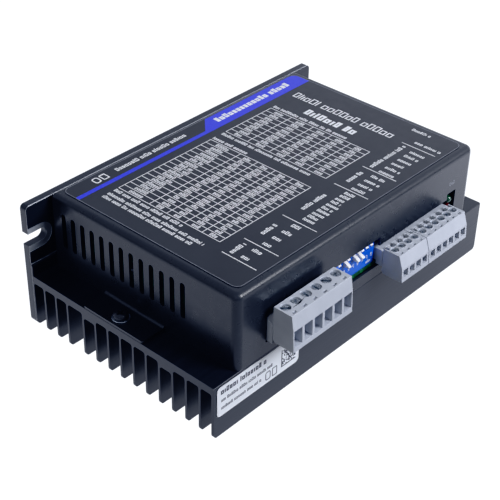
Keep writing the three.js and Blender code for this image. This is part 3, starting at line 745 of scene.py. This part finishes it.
# ---------------------------------------------------------------- lamps and port contacts
for node, finish in (("lamp_power", "green_lens"), ("lamp_alarm", "red_lens")):
    low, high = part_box(node)
    radius = (high.z - low.z) / 2
    centre_x, centre_z = (low.x + high.x) / 2, (low.z + high.z) / 2
    profile = [(0, 0)]
    steps = 12
    for n in range(1, steps + 1):
        angle = math.pi / 2 * n / steps
        profile.append((radius * math.sin(angle), radius * (1 - math.cos(angle))))
    length = high.y - low.y
    profile += [(radius, length - 0.1 * MM), (radius - 0.1 * MM, length), (0, length)]
    dome = bmesh.new()
    lathe(dome, profile, 40, lambda a, b, h: (centre_x + a, low.y + h, centre_z + b))
    made = piece(node + "_dome", dome, "driver", finish, smooth=True)
    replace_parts(made, node)

PORT_CONTACTS = 6
PORT_PITCH = 1.27
port_low, port_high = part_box("tuning_port")
contacts = bmesh.new()
for n in range(PORT_CONTACTS):
    y = (port_low.y + port_high.y) / 2 + (n - (PORT_CONTACTS - 1) / 2) * PORT_PITCH * MM
    top = port_high.z - 2.2 * MM
    x0 = port_high.x - 8.4 * MM
    reach = 6.2 * MM
    outline = [(0, 0), (reach, -2.2 * MM), (reach, -2.5 * MM), (0.3 * MM, -0.35 * MM), (0.3 * MM, -1.4 * MM),
               (0, -1.4 * MM)]
    add_prism(contacts, outline, 0.5 * MM, lambda u, v, h, y=y: (x0 + u, y - 0.25 * MM + h, top + v))
piece("port_contacts", contacts, "driver", "brass_post")

# ---------------------------------------------------------------- floor, light and camera
def stage_plane(name, size, height, finish_name):
    mesh = bmesh.new()
    corners = [mesh.verts.new((x * size, y * size, height)) for x, y in ((-1, -1), (1, -1), (1, 1), (-1, 1))]
    mesh.faces.new(corners)
    obj = to_object(name, mesh)
    material = bpy.data.materials.new(finish_name)
    material.use_nodes = True
    obj.data.materials.append(material)
    return obj, material.node_tree


WHITE = (1.0, 1.02, 1.06, 1.0)   # the floor as the camera sees it
COOL = (1.0, 1.03, 1.16, 1.0)    # the surroundings as reflections show them
floor, tree = stage_plane("floor", 6, -0.0004, "pale_floor")
glow = tree.nodes.new("ShaderNodeEmission")
glow.inputs["Color"].default_value = WHITE
glow.inputs["Strength"].default_value = 1.08
tree.links.new(glow.outputs[0], tree.nodes["Material Output"].inputs["Surface"])
floor.visible_glossy = False
floor.visible_diffuse = False
floor.visible_transmission = False

# The same floor as seen in reflections, brighter towards the front right.
sheen, tree = stage_plane("floor_in_reflections", 6, -0.0005, "pale_floor_reflected")
coordinates = tree.nodes.new("ShaderNodeTexCoord").outputs["Object"]
split = tree.nodes.new("ShaderNodeSeparateXYZ")
tree.links.new(coordinates, split.inputs[0])


def ramp(value, start, end, low, high):
    made = tree.nodes.new("ShaderNodeMapRange")
    made.interpolation_type = "SMOOTHSTEP"
    tree.links.new(value, made.inputs["Value"])
    for socket, number in (("From Min", start), ("From Max", end), ("To Min", low), ("To Max", high)):
        if isinstance(number, bpy.types.NodeSocket):
            tree.links.new(number, made.inputs[socket])
        else:
            made.inputs[socket].default_value = number
    return made.outputs[0]


front_light = ramp(split.outputs[0], 0.03, 0.16, 0.90, 1.75)
strength = ramp(split.outputs[1], -0.07, 0.03, front_light, 1.15)
glow = tree.nodes.new("ShaderNodeEmission")
glow.inputs["Color"].default_value = COOL
tree.links.new(strength, glow.inputs["Strength"])
tree.links.new(glow.outputs[0], tree.nodes["Material Output"].inputs["Surface"])
sheen.visible_camera = False
sheen.visible_diffuse = False
sheen.visible_shadow = False

# A low dark wall round the studio, also only seen in reflections.
wall_mesh = bmesh.new()
WALL_SIDES, WALL_RADIUS, WALL_LOW, WALL_HIGH = 48, 2.4, -0.0003, 0.34
rings = [[wall_mesh.verts.new((WALL_RADIUS * math.cos(2 * math.pi * n / WALL_SIDES),
                               WALL_RADIUS * math.sin(2 * math.pi * n / WALL_SIDES), z))
          for n in range(WALL_SIDES)] for z in (WALL_LOW, WALL_HIGH)]
for n in range(WALL_SIDES):
    m = (n + 1) % WALL_SIDES
    wall_mesh.faces.new((rings[0][n], rings[0][m], rings[1][m], rings[1][n]))
wall = to_object("studio_wall", wall_mesh)
wall_finish = bpy.data.materials.new("studio_wall")
wall_finish.use_nodes = True
wall_finish.node_tree.nodes["Principled BSDF"].inputs["Base Color"].default_value = (0.05, 0.05, 0.06, 1)
wall.data.materials.append(wall_finish)
wall.visible_camera = wall.visible_diffuse = wall.visible_shadow = wall.visible_transmission = False

world = bpy.data.worlds.new("studio")
bpy.context.scene.world = world
world.use_nodes = True
world.cycles_visibility.diffuse = False
tree = world.node_tree
background = tree.nodes["Background"]
background.inputs["Color"].default_value = COOL
direction = tree.nodes.new("ShaderNodeTexCoord").outputs["Generated"]
split = tree.nodes.new("ShaderNodeSeparateXYZ")
tree.links.new(direction, split.inputs[0])
tree.links.new(ramp(split.outputs[0], 0.60, 0.80, 0.69, 1.36), background.inputs["Strength"])


def softbox(name, towards, distance, size, factor, seen_in_gloss, colour=(1, 1, 1)):
    """A square lamp aimed at the object; factor is the brightness it gives a white surface facing it."""
    lamp = bpy.data.lights.new(name, "AREA")
    lamp.shape = "SQUARE"
    lamp.size = size
    lamp.energy = factor * math.pi ** 2 * distance ** 2
    lamp.color = colour
    obj = bpy.data.objects.new(name, lamp)
    bpy.context.scene.collection.objects.link(obj)
    direction = Vector(towards).normalized()
    obj.location = direction * distance
    obj.rotation_mode = "QUATERNION"
    obj.rotation_quaternion = direction.to_track_quat("Z", "Y")
    obj.visible_glossy = seen_in_gloss
    return obj


softbox("key", (0.35, -0.73, 0.585), 3.0, 1.3, 1.12, True, (0.98, 1.0, 1.07))
softbox("left_fill", (-0.8, -0.15, 0.58), 2.0, 1.2, 0.3, False)
softbox("back_fill", (0.6, 1, 0.18), 2.0, 1.2, 0.5, False)

# Camera: azimuth from the front, elevation and roll in degrees, lens in millimetres, place in metres.
AZIMUTH, ELEVATION, ROLL = (math.radians(a) for a in (-48.564, 34.922, 1.223))
LENS = 90.54
CAMERA_PLACE = (-0.294138, -0.247301, 0.286062)
camera = bpy.data.cameras.new("camera")
camera.sensor_width = 36
camera.lens = LENS
camera.clip_start = 0.01
view_from = bpy.data.objects.new("camera", camera)
bpy.context.scene.collection.objects.link(view_from)
back = Vector((math.sin(AZIMUTH) * math.cos(ELEVATION), -math.cos(AZIMUTH) * math.cos(ELEVATION),
               math.sin(ELEVATION)))
right = Vector((math.cos(AZIMUTH), math.sin(AZIMUTH), 0))
up = back.cross(right)
rolled_right = right * math.cos(ROLL) + up * math.sin(ROLL)
rolled_up = up * math.cos(ROLL) - right * math.sin(ROLL)
turn = Matrix((rolled_right, rolled_up, back)).transposed()
view_from.matrix_world = Matrix.Translation(CAMERA_PLACE) @ turn.to_4x4()
bpy.context.scene.camera = view_from

# Standard display with a soft, slightly cool black point.
settings = bpy.context.scene.view_settings
settings.view_transform = "Standard"
settings.look = "None"
settings.use_curve_mapping = True
TOE = 0.012


def toe(value, black):
    return TOE * math.log1p(math.exp((value - black) / TOE))


for curve, black in zip(settings.curve_mapping.curves, (0.036, 0.032, 0.023)):
    curve.points[-1].location = (1, 1)
    curve.points[0].location = (0, toe(0, black))
    for value in (0.01, 0.02, 0.03, 0.045, 0.065, 0.1, 0.2, 0.5):
        curve.points.new(value, toe(value, black) / toe(1, black))
settings.curve_mapping.update()
